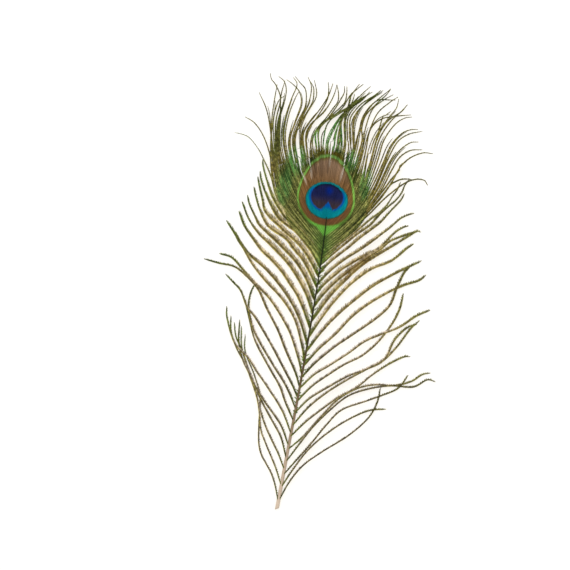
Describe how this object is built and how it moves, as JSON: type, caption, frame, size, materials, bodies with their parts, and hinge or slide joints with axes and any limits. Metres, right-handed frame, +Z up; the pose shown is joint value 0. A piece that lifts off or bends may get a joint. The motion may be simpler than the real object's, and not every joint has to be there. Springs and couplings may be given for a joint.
{
  "type": "peacock feather",
  "caption": "Cut peacock eye feather lying flat: a thin shaft with loose, curving barbs on both sides that close into a blue, bronze and green eye near the top.",
  "frame": {"origin": "centre of the feather's box on the surface that it lies on", "axes": "+Y along the shaft from the cut end to the eye, +Z up out of the face of the eye, +X to the right seen from above"},
  "size_m": [0.1741, 0.3042, 0.0052],
  "materials": {
    "feather": "satin"
  },
  "bodies": {
    "root": {"feather": "feather"}
  },
  "joints": []
}
